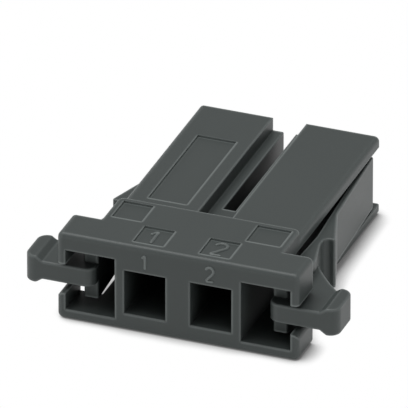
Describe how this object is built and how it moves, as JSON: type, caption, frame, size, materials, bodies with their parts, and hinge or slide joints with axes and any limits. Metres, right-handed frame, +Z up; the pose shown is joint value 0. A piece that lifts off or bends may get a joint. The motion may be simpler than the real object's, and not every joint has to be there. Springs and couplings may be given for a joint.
{
  "type": "pcb connector housing",
  "caption": "Moulded crimp housing for board connectors: flanged wire-entry face with rectangular contact chambers, slotted mating end and squeeze-to-release latch levers",
  "frame": {"origin": "middle of the flat rest face underneath, at the bottom of the bounding box", "axes": "X across the two positions, position 1 on the -X side; -Y out of the wire-entry face and +Y towards the mating end; Z up from the rest face"},
  "size_m": [0.0242, 0.023, 0.007],
  "materials": {
    "anthracite_plastic": "moulded glass-filled polyamide, anthracite, fine satin texture"
  },
  "bodies": {
    "root": {"housing": "anthracite_plastic"}
  },
  "joints": []
}
